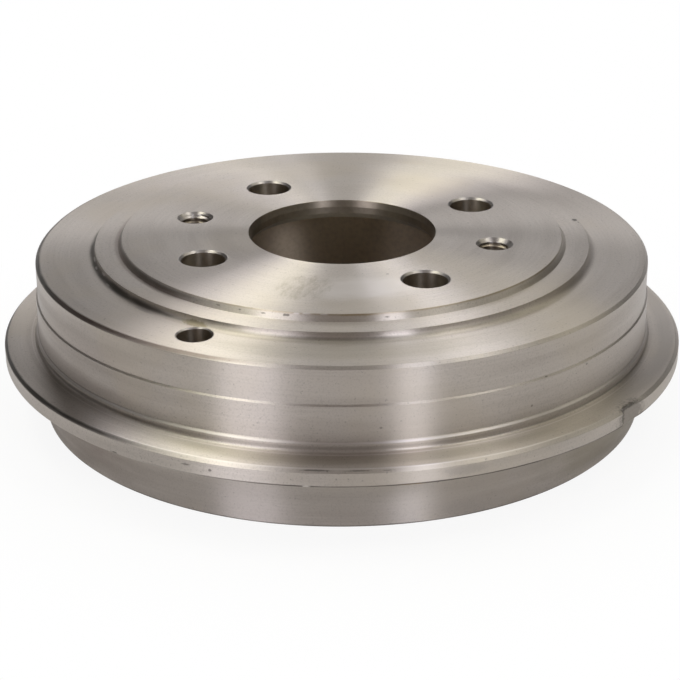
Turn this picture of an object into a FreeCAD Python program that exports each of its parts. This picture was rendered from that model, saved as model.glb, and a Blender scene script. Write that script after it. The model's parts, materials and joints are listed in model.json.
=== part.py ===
"""Brake drum of a small car's rear wheel: one grey-iron casting, turned all over.

Lengths are millimetres and angles are degrees. The drum's axis is Z. It stands on its open
rim, at Z = 0, with the hub face up. An angle on the face counts from +X towards +Y.
Radial sections are drawn in the XZ plane: across is the radius, up is the height.
"""
import FreeCAD, Part
import math
import os

import Sketcher

# Each line is a driving size: the name of its cell, its value and what it measures.
DIMENSIONS = [
    ("overall_height", 54.0, "open rim to hub face"),
    ("hub_face_diameter", 138.6, "flat face that the wheel bears on"),
    ("hub_edge_run", 1.3, "radial run of the slope round the hub face"),
    ("shoulder_level", 52.0, "height of the ring round the hub face"),
    ("shoulder_diameter", 155.6, "outside of that ring"),
    ("web_level", 49.6, "height of the outer face of the web"),
    ("web_fillet", 2.3, "fillet between the shoulder and the web"),
    ("upper_band_diameter", 192.6, "drum wall, above its step"),
    ("top_edge_chamfer", 0.9, "edge of the web and the upper band"),
    ("band_step_level", 38.4, "height at which the wall steps out"),
    ("lower_band_diameter", 193.6, "drum wall, below its step"),
    ("neck_level", 27.4, "lower end of the drum wall"),
    ("neck_diameter", 195.0, "collar between the wall and the flange"),
    ("neck_slope", 1.6, "slope at the foot of the collar, along each side"),
    ("flange_diameter", 215.0, "outside of the flange, and of the drum"),
    ("flange_level", 24.0, "height of the flange at its rim"),
    ("flange_rise", 0.5, "rise of the flange from its rim to the collar's foot"),
    ("flange_base_level", 18.7, "height of the flange's underside"),
    ("rim_chamfer", 1.05, "upper edge of the flange's rim"),
    ("rim_lower_chamfer", 0.3, "lower edge of the flange's rim"),
    ("skirt_diameter", 191.6, "lip below the flange, which enters the back plate"),
    ("skirt_chamfer", 0.5, "outer edge of the open rim"),
    ("brake_diameter", 180.0, "surface that the shoes rub on"),
    ("brake_band_top", 38.5, "upper end of that surface"),
    ("brake_band_base", 6.0, "lower end of that surface"),
    ("mouth_diameter", 183.0, "relief at the open rim, where no shoe rubs"),
    ("mouth_depth", 4.5, "height at which the relief starts to close in"),
    ("mouth_chamfer", 1.0, "inner edge of the open rim"),
    ("relief_diameter", 182.4, "tool relief between the brake surface and the web"),
    ("relief_slope", 1.8, "slope between the relief and the web, along each side"),
    ("web_thickness", 6.5, "web, outside the hub seat"),
    ("hub_thickness", 6.5, "web, at the hub face"),
    ("hub_seat_diameter", 132.0, "inner face that the axle's hub bears on"),
    ("hub_seat_run", 3.5, "radial run of the slope round the hub seat"),
    ("centre_bore", 58.2, "spigot bore of the hub"),
    ("bore_chamfer_width", 1.1, "outer edge of the centre bore, along the face"),
    ("bore_chamfer_depth", 1.75, "outer edge of the centre bore, along the bore"),
    ("bore_lead_in", 2.4, "inner edge of the centre bore"),
    ("bolt_circle", 98.0, "pitch circle of the wheel bolts"),
    ("bolt_hole", 13.5, "clearance hole of a wheel bolt"),
    ("bolt_countersink", 14.8, "outside of that hole's broken edge"),
    ("bolt_angle", 30.0, "angle of the first wheel bolt"),
    ("screw_circle", 98.0, "pitch circle of the jacking screws"),
    ("screw_countersink", 11.6, "outside of a jacking screw's countersink"),
    ("screw_angle", -15.0, "angle of the first jacking screw"),
    ("adjuster_circle", 169.2, "circle that the adjuster hole is centred on"),
    ("adjuster_hole", 10.0, "hole that the shoes are adjusted through"),
    ("adjuster_angle", -119.7, "angle of the adjuster hole"),
    ("flat_angle", -41.2, "angle of the balance cut's deep end"),
    ("flat_width", 13.0, "length of the balance cut along the rim"),
    ("flat_depth", 1.0, "depth of the balance cut at its deep end"),
]

BOLT_COUNT = 4
SCREW_COUNT = 2
SCREW_THREAD = "M10x1.5"
COUNTERSINK_ANGLE = 90.0
FULL_TURN = 360.0

# How near an edge's circle has to lie to the one that is looked for.
EDGE_TOLERANCE = 1e-4


class Size:
    """A length or an angle: its number, and the expression that binds it to the sheet."""

    def __init__(self, number, expression):
        self.number = number
        self.expression = expression

    def __add__(self, other):
        return Size(self.number + other.number, f"({self.expression} + {other.expression})")

    def __sub__(self, other):
        return Size(self.number - other.number, f"({self.expression} - {other.expression})")

    def half(self):
        return Size(self.number / 2, f"({self.expression}) / 2")


def make_sheet(doc):
    """Write the driving sizes into a sheet and return them by name."""
    sheet = doc.addObject("Spreadsheet::Sheet", "Dimensions")
    sizes = {}
    for row, (name, number, meaning) in enumerate(DIMENSIONS, start=1):
        sheet.set(f"A{row}", meaning)
        sheet.set(f"B{row}", str(number))
        sheet.setAlias(f"B{row}", name)
        sizes[name] = Size(number, f"Dimensions.{name}")
    doc.recompute()
    return sizes


def add_sketch(body, name, plane_role):
    """Add a sketch on one of the body's own origin planes."""
    plane = next(item for item in body.Origin.OriginFeatures if item.Role == plane_role)
    sketch = body.newObject("Sketcher::SketchObject", name)
    sketch.AttachmentSupport = (plane, [""])
    sketch.MapMode = "FlatFace"
    return sketch


def bind(sketch, constraint, size):
    """Add a constraint and tie its value to the sheet."""
    index = sketch.addConstraint(constraint)
    sketch.setExpression(f"Constraints[{index}]", size.expression)


def draw_section(sketch, corners):
    """Draw a closed outline of straight lines through corners (radius, height).

    A corner with no radius lies on the axis, and one with no height lies on the base line.
    """
    points = [
        FreeCAD.Vector(radius.number if radius else 0.0, height.number if height else 0.0, 0)
        for radius, height in corners
    ]
    count = len(corners)
    for index in range(count):
        sketch.addGeometry(Part.LineSegment(points[index], points[(index + 1) % count]), False)
    for index, (radius, height) in enumerate(corners):
        sketch.addConstraint(Sketcher.Constraint("Coincident", index - 1 if index else count - 1, 2, index, 1))
        if radius:
            bind(sketch, Sketcher.Constraint("DistanceX", -1, 1, index, 1, radius.number), radius)
        else:
            sketch.addConstraint(Sketcher.Constraint("PointOnObject", index, 1, -2))
        if height:
            bind(sketch, Sketcher.Constraint("DistanceY", -1, 1, index, 1, height.number), height)
        else:
            sketch.addConstraint(Sketcher.Constraint("PointOnObject", index, 1, -1))


def draw_hole_centre(sketch, circle, angle, diameter):
    """Draw a hole's circle at an angle on its pitch circle, held by a construction line."""
    reach = circle.half()
    turn = math.radians(angle.number)
    centre = FreeCAD.Vector(reach.number * math.cos(turn), reach.number * math.sin(turn), 0)
    spoke = sketch.addGeometry(Part.LineSegment(FreeCAD.Vector(0, 0, 0), centre), True)
    rim = sketch.addGeometry(Part.Circle(centre, FreeCAD.Vector(0, 0, 1), diameter.number / 2), False)
    sketch.addConstraint(Sketcher.Constraint("Coincident", spoke, 1, -1, 1))
    sketch.addConstraint(Sketcher.Constraint("Coincident", rim, 3, spoke, 2))
    bind(sketch, Sketcher.Constraint("Distance", spoke, reach.number), reach)
    bind(sketch, Sketcher.Constraint("Angle", -1, 1, spoke, 1, turn), Size(turn, f"{angle.expression} * 1 deg"))
    bind(sketch, Sketcher.Constraint("Diameter", rim, diameter.number), diameter)


def ring_edges(feature, radius, height):
    """Name the circular edges round the drum's axis at a radius and a height."""
    names = []
    for index, edge in enumerate(feature.Shape.Edges, start=1):
        curve = edge.Curve
        if not isinstance(curve, Part.Circle):
            continue
        off_axis = math.hypot(curve.Center.x, curve.Center.y)
        misses = (off_axis, abs(curve.Radius - radius), abs(curve.Center.z - height))
        if max(misses) < EDGE_TOLERANCE:
            names.append(f"Edge{index}")
    if not names:
        raise RuntimeError(f"{feature.Name} has no ring edge of radius {radius} at height {height}")
    return names


def turn_outside(doc, body, size):
    """Turn the outer form: hub face, shoulder, web, two-step wall, collar, flange and skirt."""
    hub = size["hub_face_diameter"].half()
    shoulder = size["shoulder_diameter"].half()
    upper = size["upper_band_diameter"].half()
    lower = size["lower_band_diameter"].half()
    neck = size["neck_diameter"].half()
    rim = size["flange_diameter"].half()
    skirt = size["skirt_diameter"].half()
    top = size["overall_height"]
    web = size["web_level"]
    step = size["band_step_level"]
    foot = size["flange_level"] + size["flange_rise"]
    base = size["flange_base_level"]

    sketch = add_sketch(body, "outside_section", "XZ_Plane")
    draw_section(sketch, [
        (None, None),
        (skirt - size["skirt_chamfer"], None),
        (skirt, size["skirt_chamfer"]),
        (skirt, base),
        (rim - size["rim_lower_chamfer"], base),
        (rim, base + size["rim_lower_chamfer"]),
        (rim, size["flange_level"] - size["rim_chamfer"]),
        (rim - size["rim_chamfer"], size["flange_level"]),
        (neck + size["neck_slope"], foot),
        (neck, foot + size["neck_slope"]),
        (neck, size["neck_level"] - (neck - lower)),
        (lower, size["neck_level"]),
        (lower, step - (lower - upper)),
        (upper, step),
        (upper, web - size["top_edge_chamfer"]),
        (upper - size["top_edge_chamfer"], web),
        (shoulder, web),
        (shoulder, size["shoulder_level"]),
        (hub + size["hub_edge_run"], size["shoulder_level"]),
        (hub, top),
        (None, top),
    ])
    doc.recompute()

    form = body.newObject("PartDesign::Revolution", "outside")
    form.Profile = sketch
    form.ReferenceAxis = (sketch, ["V_Axis"])
    form.Angle = FULL_TURN
    doc.recompute()

    blend = body.newObject("PartDesign::Fillet", "web_blend")
    blend.Base = (form, ring_edges(form, shoulder.number, web.number))
    blend.setExpression("Radius", size["web_fillet"].expression)
    doc.recompute()
    return blend


def turn_inside(doc, body, size):
    """Turn the hollow: relieved mouth, brake surface, tool relief, web and hub seat."""
    brake = size["brake_diameter"].half()
    mouth = size["mouth_diameter"].half()
    relief = size["relief_diameter"].half()
    seat = size["hub_seat_diameter"].half()
    ceiling = size["web_level"] - size["web_thickness"]
    seat_level = size["overall_height"] - size["hub_thickness"]

    sketch = add_sketch(body, "inside_section", "XZ_Plane")
    draw_section(sketch, [
        (None, None),
        (mouth + size["mouth_chamfer"], None),
        (mouth, size["mouth_chamfer"]),
        (mouth, size["mouth_depth"]),
        (brake, size["brake_band_base"]),
        (brake, size["brake_band_top"]),
        (relief, size["brake_band_top"] + (relief - brake)),
        (relief, ceiling - size["relief_slope"]),
        (relief - size["relief_slope"], ceiling),
        (seat + size["hub_seat_run"], ceiling),
        (seat, seat_level),
        (None, seat_level),
    ])
    doc.recompute()

    hollow = body.newObject("PartDesign::Groove", "inside")
    hollow.Profile = sketch
    hollow.ReferenceAxis = (sketch, ["V_Axis"])
    hollow.Angle = FULL_TURN
    doc.recompute()
    return hollow


def bore_centre(doc, body, size):
    """Bore the hub for its spigot, break the outer edge and lead the spigot in from inside."""
    bore = size["centre_bore"].half()
    top = size["overall_height"]
    seat_level = top - size["hub_thickness"]

    sketch = add_sketch(body, "bore_section", "XZ_Plane")
    draw_section(sketch, [
        (None, seat_level),
        (bore + size["bore_lead_in"], seat_level),
        (bore, seat_level + size["bore_lead_in"]),
        (bore, top - size["bore_chamfer_depth"]),
        (bore + size["bore_chamfer_width"], top),
        (None, top),
    ])
    doc.recompute()

    cut = body.newObject("PartDesign::Groove", "centre_bore")
    cut.Profile = sketch
    cut.ReferenceAxis = (sketch, ["V_Axis"])
    cut.Angle = FULL_TURN
    doc.recompute()
    return cut


def face_sketch(body, name, level):
    """Add a sketch that lies level with one of the drum's flat faces."""
    sketch = add_sketch(body, name, "XY_Plane")
    sketch.setExpression("AttachmentOffset.Base.z", level.expression)
    return sketch


def add_pattern(doc, body, name, feature, sketch, count):
    """Repeat a feature evenly round the drum's axis."""
    pattern = body.newObject("PartDesign::PolarPattern", name)
    pattern.Originals = [feature]
    pattern.Axis = (sketch, ["N_Axis"])
    pattern.Angle = FULL_TURN
    pattern.Occurrences = count
    body.Tip = pattern
    doc.recompute()
    return pattern


def drill_bolt_holes(doc, body, size):
    """Drill the clearance holes of the wheel bolts, with their edges broken."""
    sketch = face_sketch(body, "bolt_hole_place", size["overall_height"])
    draw_hole_centre(sketch, size["bolt_circle"], size["bolt_angle"], size["bolt_hole"])
    doc.recompute()

    hole = body.newObject("PartDesign::Hole", "bolt_hole")
    hole.Profile = sketch
    hole.DepthType = "ThroughAll"
    hole.ThreadType = "None"
    hole.setExpression("Diameter", size["bolt_hole"].expression)
    hole.HoleCutType = "Countersink"
    hole.HoleCutCustomValues = True
    hole.HoleCutCountersinkAngle = COUNTERSINK_ANGLE
    hole.setExpression("HoleCutDiameter", size["bolt_countersink"].expression)
    doc.recompute()
    return add_pattern(doc, body, "bolt_holes", hole, sketch, BOLT_COUNT)


def tap_screw_holes(doc, body, size):
    """Drill and tap the holes of the two screws that jack the drum off its hub."""
    sketch = face_sketch(body, "screw_hole_place", size["overall_height"])
    draw_hole_centre(sketch, size["screw_circle"], size["screw_angle"], size["screw_countersink"])
    doc.recompute()

    hole = body.newObject("PartDesign::Hole", "screw_hole")
    hole.Profile = sketch
    hole.DepthType = "ThroughAll"
    hole.ThreadType = "ISOMetricProfile"
    hole.ThreadSize = SCREW_THREAD
    hole.Threaded = True
    hole.ModelThread = False
    hole.HoleCutType = "Countersink"
    hole.HoleCutCustomValues = True
    hole.HoleCutCountersinkAngle = COUNTERSINK_ANGLE
    hole.setExpression("HoleCutDiameter", size["screw_countersink"].expression)
    doc.recompute()
    return add_pattern(doc, body, "screw_holes", hole, sketch, SCREW_COUNT)


def drill_adjuster_hole(doc, body, size):
    """Drill the hole in the web that the shoes are adjusted through."""
    sketch = face_sketch(body, "adjuster_hole_place", size["web_level"] + size["web_fillet"])
    draw_hole_centre(sketch, size["adjuster_circle"], size["adjuster_angle"], size["adjuster_hole"])
    doc.recompute()

    hole = body.newObject("PartDesign::Pocket", "adjuster_hole")
    hole.Profile = sketch
    hole.Type = "Length"
    hole.setExpression("Length", (size["web_thickness"] + size["web_fillet"] + size["web_fillet"]).expression)
    doc.recompute()
    return hole


def cut_rim_flat(doc, body, size):
    """Mill the balance cut: a wedge off the rim, deep at one end and run out at the other."""
    rim = size["flange_diameter"].half()
    depth = size["flat_depth"]
    width = size["flat_width"]
    sketch = face_sketch(body, "flat_outline", size["flange_level"])
    sketch.setExpression("AttachmentOffset.Rotation.Angle", size["flat_angle"].expression)

    # The corners stand in a frame whose X axis passes through the cut's deep end.
    # The run-out corner lies on the rim, and the clearance corners lie outside it.
    run_out = Size(
        math.sqrt(rim.number ** 2 - width.number ** 2),
        f"sqrt(({rim.expression})^2 - {width.expression}^2)",
    )
    corners = [
        (rim - depth, None),
        (run_out, width),
        (rim + depth, width),
        (rim + depth, None),
    ]
    draw_section(sketch, corners)
    doc.recompute()

    cut = body.newObject("PartDesign::Pocket", "rim_flat")
    cut.Profile = sketch
    cut.Type = "Length"
    cut.setExpression("Length", (size["flange_level"] - size["flange_base_level"]).expression)
    doc.recompute()
    return cut


def add_step(doc, body, size, step, volumes):
    """Run one step of the making, and see that it changed the solid."""
    feature = step(doc, body, size)
    body.Tip = feature
    doc.recompute()
    volume = body.Shape.Volume
    if volumes and not volume < volumes[-1]:
        raise RuntimeError(f"{feature.Name} removes nothing")
    volumes.append(volume)


def check_document(doc, bodies):
    """Stop if any object failed to build or any sub-part isn't one sound solid."""
    for item in doc.Objects:
        if "Invalid" in item.State or "Error" in item.State:
            raise RuntimeError(f"{item.Name} failed: {item.State}")
    for body in bodies:
        shape = body.Shape
        if shape.isNull() or not shape.isValid() or len(shape.Solids) != 1:
            raise RuntimeError(f"{body.Label} isn't one sound solid")


def main():
    doc = FreeCAD.newDocument("BrakeDrum")
    size = make_sheet(doc)

    drum = doc.addObject("PartDesign::Body", "Drum")
    drum.Label = "brake_drum"
    drum.Placement = FreeCAD.Placement()

    volumes = []
    steps = (
        turn_outside,
        turn_inside,
        bore_centre,
        drill_bolt_holes,
        tap_screw_holes,
        drill_adjuster_hole,
        cut_rim_flat,
    )
    for step in steps:
        add_step(doc, drum, size, step, volumes)

    check_document(doc, [drum])
    os.makedirs("parts", exist_ok=True)
    for body in [drum]:
        body.Shape.exportStep(f"parts/{body.Label}.step")
        print(body.Label, "volume", round(body.Shape.Volume), "mm3, faces", len(body.Shape.Faces))


main()
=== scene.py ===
"""Looks of a turned brake drum: its skin, its finishes, and the studio that it stands in.

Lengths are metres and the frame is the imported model's own: the drum's axis is Z, the open rim
lies at Z = 0 and the hub face is up. Angles are counted from +X towards +Y.
"""
import json
import math

import bpy
import numpy as np
from mathutils import Matrix, Vector


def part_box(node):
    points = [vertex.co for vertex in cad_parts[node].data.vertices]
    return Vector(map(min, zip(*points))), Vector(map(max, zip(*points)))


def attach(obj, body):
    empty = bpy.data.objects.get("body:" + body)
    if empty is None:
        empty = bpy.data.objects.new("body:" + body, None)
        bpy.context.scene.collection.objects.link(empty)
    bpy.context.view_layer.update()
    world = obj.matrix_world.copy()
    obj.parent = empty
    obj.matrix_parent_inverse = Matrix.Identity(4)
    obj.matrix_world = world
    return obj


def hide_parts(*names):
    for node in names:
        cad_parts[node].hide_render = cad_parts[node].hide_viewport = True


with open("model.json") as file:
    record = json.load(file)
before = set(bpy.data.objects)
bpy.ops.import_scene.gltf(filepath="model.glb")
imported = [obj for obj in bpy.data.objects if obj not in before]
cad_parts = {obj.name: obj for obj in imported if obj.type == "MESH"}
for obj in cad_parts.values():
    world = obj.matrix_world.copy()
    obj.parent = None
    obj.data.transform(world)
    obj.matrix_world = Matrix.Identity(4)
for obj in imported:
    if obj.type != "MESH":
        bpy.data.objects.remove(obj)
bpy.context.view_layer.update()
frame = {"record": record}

bl_info = {
    "name": "Turned Brake Drum",
    "version": (1, 0, 0),
    "blender": (4, 5, 0),
    "location": "View3D > Sidebar > Drum",
    "description": "Builds a turned grey-iron brake drum and the studio that it is shown in",
    "category": "Add Mesh",
}

MM = 0.001
DRUM_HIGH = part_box("brake_drum")[1]
MOUNTS = {mount["name"]: mount for mount in frame["record"]["mounts"]}


def length(name, description, millimetres):
    """A size in millimetres, held in metres."""
    return bpy.props.FloatProperty(
        name=name, description=description, default=millimetres * MM, unit="LENGTH", precision=5
    )


def angle(name, description, degrees):
    """An angle in degrees, held in radians."""
    return bpy.props.FloatProperty(
        name=name, description=description, default=math.radians(degrees), subtype="ANGLE"
    )


def share(name, description, value):
    """A plain number from 0 to 1."""
    return bpy.props.FloatProperty(
        name=name, description=description, default=value, min=0.0, max=1.0, subtype="FACTOR"
    )


def linear(hex_colour):
    """Turn an sRGB hex value into linear red, green and blue."""
    parts = [int(hex_colour[start:start + 2], 16) / 255 for start in (1, 3, 5)]
    return tuple(part / 12.92 if part <= 0.04045 else ((part + 0.055) / 1.055) ** 2.4 for part in parts)


def paint(name, description, hex_colour):
    """A colour written as an sRGB hex value and held as linear light."""
    return bpy.props.FloatVectorProperty(
        name=name, description=description, default=linear(hex_colour), size=3, subtype="COLOR"
    )


def mount_size(name, key):
    """A size of one of the record's mounts, in millimetres."""
    return MOUNTS[name]["dims"][key]


class OutsideSizes(bpy.types.PropertyGroup):
    """The outer form, from the hub face down to the open rim."""

    height: length("Height", "Open rim to hub face", DRUM_HIGH.z / MM)
    hub_edge: length("Hub edge", "Radius of the flat hub face", 69.3)
    hub_slope: length("Hub slope", "Radial run of the slope round the hub face", 1.3)
    shoulder_level: length("Shoulder level", "Height of the ring round the hub face", 52.0)
    shoulder: length("Shoulder", "Outer radius of that ring", 77.8)
    web_level: length("Web level", "Height of the web's outer face", 49.6)
    web_fillet: length("Web fillet", "Fillet between the shoulder and the web", 2.3)
    upper_band: length("Upper band", "Radius of the wall above its step", 96.3)
    top_chamfer: length("Top chamfer", "Edge of the web and the upper band", 0.9)
    step_level: length("Step level", "Height at which the wall steps out", 38.4)
    lower_band: length("Lower band", "Radius of the wall below its step", 96.8)
    neck_level: length("Neck level", "Lower end of the wall", 27.4)
    neck: length("Neck", "Radius of the collar above the flange", 97.5)
    neck_fillet: length("Neck fillet", "Fillet at the foot of the collar", 0.7)
    rim: length("Rim", "Radius of the flange", DRUM_HIGH.x / MM)
    flange_level: length("Flange level", "Height of the flange at its rim", 24.0)
    flange_rise: length("Flange rise", "Rise of the flange from its rim to the collar", 0.5)
    flange_base: length("Flange base", "Height of the flange's underside", 18.7)
    rim_chamfer: length("Rim chamfer", "Upper edge of the rim", 1.05)
    rim_lower_chamfer: length("Rim lower chamfer", "Lower edge of the rim", 0.3)
    skirt: length("Skirt", "Radius of the lip below the flange", 95.8)
    skirt_fillet: length("Skirt fillet", "Corner between the lip and the flange", 0.4)
    skirt_chamfer: length("Skirt chamfer", "Outer edge of the open rim", 0.5)
    broken_edge: length("Broken edge", "Radius left on a turned edge", 0.2)
    flat_angle: angle("Flat angle", "Angle of the balance cut's deep end", -41.2)
    flat_width: length("Flat width", "Length of the balance cut along the rim", 13.0)
    flat_depth: length("Flat depth", "Depth of the balance cut at its deep end", 1.0)


class InsideSizes(bpy.types.PropertyGroup):
    """The hollow, from the open rim up to the hub's bore."""

    mouth_chamfer: length("Mouth chamfer", "Inner edge of the open rim", 1.0)
    mouth: length("Mouth", "Radius of the relief at the open rim", 91.5)
    mouth_depth: length("Mouth depth", "Height at which that relief closes in", 4.5)
    brake: length("Brake surface", "Radius that the shoes rub on", mount_size("brake_surface", "r_mm"))
    brake_base: length("Brake base", "Lower end of the brake surface", 6.0)
    brake_top: length("Brake top", "Upper end of the brake surface", 38.5)
    relief: length("Relief", "Radius of the tool relief above it", 91.2)
    relief_fillet: length("Relief fillet", "Fillet between the relief and the web", 1.9)
    web_ceiling: length("Web ceiling", "Height of the web's inner face", 43.1)
    seat: length("Hub seat", "Radius of the face that the hub bears on", 66.0)
    seat_slope: length("Seat slope", "Radial run of the slope round that face", 3.5)
    seat_level: length("Seat level", "Height of that face", 47.5)
    bore: length("Bore", "Radius of the spigot bore", mount_size("centre_bore", "r_mm"))
    bore_lead_in: length("Bore lead-in", "Inner edge of the bore", 2.1)
    bore_chamfer_width: length("Bore chamfer width", "Outer edge of the bore, along the face", 0.5)
    bore_chamfer_depth: length("Bore chamfer depth", "Outer edge of the bore, along its wall", 2.25)


class HoleSizes(bpy.types.PropertyGroup):
    """The holes of the wheel bolts, the jacking screws and the shoe adjuster."""

    bolt_circle: length("Bolt circle", "Radius that bolts stand on", mount_size("wheel_bolts", "pcd_mm") / 2)
    bolt_hole: length("Bolt hole", "Radius of a bolt's hole", mount_size("wheel_bolts", "hole_r_mm"))
    bolt_edge: length("Bolt edge", "Radius of the broken edge of a bolt's hole", 7.4)
    bolt_angle: angle("Bolt angle", "Angle of the first bolt", 30.0)
    screw_circle: length("Screw circle", "Radius that the screws stand on", 49.0)
    screw_angle: angle("Screw angle", "Angle of the first screw", -15.0)
    thread_pitch: length("Thread pitch", "Rise of the screw thread in a turn", 1.5)
    thread_root: length("Thread root", "Radius at the bottom of the thread", 5.0)
    thread_crest: length("Thread crest", "Radius at the top of the thread", 4.19)
    screw_edge: length("Screw edge", "Radius of a screw hole's countersink", 5.8)
    screw_lead_out: length("Screw lead-out", "Chamfer at the inner end of a screw hole", 0.6)
    adjuster_hole: length("Adjuster hole", "Radius of that hole", mount_size("adjuster_hole", "r_mm"))
    adjuster_edge: length("Adjuster edge", "Width of that hole's broken edge", 0.35)
    hole_chamfer: length("Hole chamfer", "Inner edge of a bolt's or the adjuster's hole", 0.25)
    ring_from: length("Ring from", "Inner radius of the ring that holds the bolts and screws", 36.0)
    ring_to: length("Ring to", "Outer radius of that ring", 62.0)
    web_ring_from: length("Web ring from", "Inner radius of the ring that holds the adjuster's hole", 78.7)
    web_ring_to: length("Web ring to", "Outer radius of that ring", 90.6)


class FinishSettings(bpy.types.PropertyGroup):
    """Colours and gloss of the bare iron, and the colours that paint its shade and highlights."""

    iron: paint("Iron", "Freshly turned grey iron", "#c8bfb7")
    # Bright iron also paints highlights on edges, fillets and the hub face.
    bright_iron_and_painted_highlight: paint("Bright iron", "Burnished crests of the tool's marks", "#d6cec8")
    # Dull iron also paints shade on the flange, the rim and the skirt.
    dull_iron_and_painted_shade: paint("Dull iron", "Torn iron between the marks", "#aca49d")
    iron_warm: paint("Warm iron", "Turned iron where a thin film tints it", "#c6bbad")
    bored_iron: paint("Bored iron", "Iron inside the drum, under a thin oil", "#bfad97")
    # The drilled iron is darker as painted shade in the holes and the bore, and the cut edge paler as a
    # painted highlight round their mouths.
    drilled_iron_shade: paint("Drilled iron", "Iron inside the bore and the small holes", "#a69a8b")
    cut_edge_highlight: paint("Cut edge", "Freshly cut edges of the small holes", "#ada6a1")
    # Graphite also paints shade in corners, along edges and at the balance cut.
    graphite_and_painted_shade: paint("Graphite", "Graphite pores and dust", "#4a443e")
    # The oil film also paints shade over the skirt.
    film: paint("Oil film", "Old oil and dust in the corners", "#8a8068")
    # The red film is painted shade with a red-brown tint, in corners, down the walls and over the skirt.
    red_brown_painted_shade: paint("Red film", "Oil that has dried to a red-brown stain", "#7c6a62")
    rust: paint("Rust", "First bloom of rust on the edges", "#9a7f4c")
    mark_spacing: length("Mark spacing", "Width of a tool mark, three times the real one to show", 0.6)
    band_spacing: length("Band spacing", "Width of the broader bands among the marks", 4.5)
    grit_size: length("Grit size", "Grain of the cut surface, twice as coarse to show", 0.55)
    pore_size: length("Pore size", "Spacing of the open pores", 0.85)
    film_size: length("Film size", "Width of the patches of film", 38.0)
    # The rings that these gaps break up are mostly painted shade and painted highlights.
    ring_gap_size: length("Dust size", "Width of the gaps in a ring of deposit", 3.0)
    fray_size: length("Fray size", "Grain of a small mark's ragged edge", 0.9)
    stain_size: length("Stain size", "Grain of the oil's stain inside the drum", 1.5)
    mark_depth: length("Mark depth", "Depth of the tool's marks and of the pores", 0.02)
    roughness: share("Roughness", "How far the tool marks spread a highlight", 0.40)
    roughness_swing: share("Roughness swing", "How much rougher or smoother a broad band is", 0.03)
    drilled_roughness: share("Drilled roughness", "The same inside the bore and the small holes", 0.38)
    anisotropy: share("Anisotropy", "How much the marks draw a highlight out across them", 1.0)
    drilled_anisotropy: share("Drilled anisotropy", "The same inside the bore and the small holes", 0.75)


class StageSettings(bpy.types.PropertyGroup):
    """The camera, the floor and the light."""

    camera_distance: length("Camera distance", "From the point that the camera circles", 612.04)
    camera_elevation: angle("Camera elevation", "Height of the camera above the horizon", 24.672)
    camera_azimuth: angle("Camera azimuth", "Turn of the camera about the drum's axis", -0.2)
    aim_yaw: angle("Aim yaw", "Turn of the view to the right of the axis", 0.7711)
    aim_pitch: angle("Aim pitch", "Extra tilt of the view", -1.3917)
    camera_roll: angle("Camera roll", "Turn of the picture", 0.1135)
    focal_length: bpy.props.FloatProperty(
        name="Focal length", description="Focal length of the lens in millimetres", default=98.67
    )
    frame_shift: bpy.props.FloatProperty(
        name="Frame shift", description="Sideways shift, as a share of the frame's width", default=-0.03765
    )
    floor_reach: length("Floor reach", "Half the width of the floor", 5000.0)
    floor: paint("Floor", "Matte white table", "#f4f3f1")
    board_to: length("Board to", "Radius within which the floor stays a board to every ray", 94.6)
    glow_start: share("Glow start", "How much of the floor beside the drum is plain white to the camera", 0.9)
    mirror_start: share("Mirror start", "How much of it is plain white in the metal", 0.42)
    glow_from: length("Glow from", "Radius at which the plain white starts", 96.0)
    glow_to: length("Glow to", "Radius from which the floor is all plain white", 170.0)
    sky: paint("Sky", "Even light from all round", "#fffdfa")
    sky_strength: share("Sky strength", "Strength of that even light", 0.08)
    lamp_distance: length("Lamp distance", "How far the soft lamps hang from the drum", 1100.0)


FULL_TURN = 2 * math.pi

# How finely the skin is divided: a broken edge, a fillet, the whole turn, the two rings that hold
# holes, and the way from a hole's mouth to its sector's border.
EDGE_STEPS = 2
FILLET_STEPS = 7
COLUMNS = 480
SIDE_STEPS = 18
WEB_RING_STEPS = 10
SPOKE_STEPS = 3

# Rows of one turn of thread, as shares of its pitch.
THREAD_CORNERS = (0.0, 0.125, 0.28, 0.4375, 0.5, 0.5625, 0.72, 0.875)

# Half the angle of the sector round the adjuster's hole, and the angle that the balance cut's end
# wall takes up.
ADJUSTER_MARGIN = math.radians(6.0)
FLAT_WALL = math.radians(0.02)

# Corners that fall into one cell of this grid are welded. Its odd size keeps them off its borders.
WELD_STEP = 1.37e-6


def unit(vectors):
    """Vectors of length one that point the same way."""
    return vectors / np.linalg.norm(vectors, axis=-1, keepdims=True)


def outline_rows(corners, closed):
    """Work out the rows of a turned outline: across, up and the two parts of the normal.

    A corner is (across, up, blend, steps). Each is replaced by an arc that touches both of its
    sides: the arc's radius is the blend, and its centre lies on the corner's bisector at the
    blend divided by the sine of half the corner's angle. A blend of zero keeps the corner's own
    point. The solid lies to the right of the walk along the outline, so a normal is the walking
    direction turned a quarter to the left.
    """
    rows = []
    last_one = len(corners) - 1
    for index, (across, up, blend, steps) in enumerate(corners):
        here = np.array((across, up))
        back = unit(np.array(corners[index - 1][:2]) - here)
        ahead = unit(np.array(corners[0 if index == last_one else index + 1][:2]) - here)
        if blend == 0:
            along = -back if index == last_one and not closed else ahead
            rows.append([(*here, -along[1], along[0])])
            continue
        half = math.acos(np.clip(back @ ahead, -1, 1)) / 2
        centre = here + unit(back + ahead) * blend / math.sin(half)
        first = unit(here + back * blend / math.tan(half) - centre)
        last = unit(here + ahead * blend / math.tan(half) - centre)
        turn = math.atan2(first[0] * last[1] - first[1] * last[0], first @ last)
        swing = math.atan2(first[1], first[0]) + turn * np.linspace(0, 1, steps + 1)
        spokes = np.stack((np.cos(swing), np.sin(swing)), axis=1)
        rows.append(np.hstack((centre + blend * spokes, -math.copysign(1, turn) * spokes)))
    return np.vstack(rows)


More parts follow.
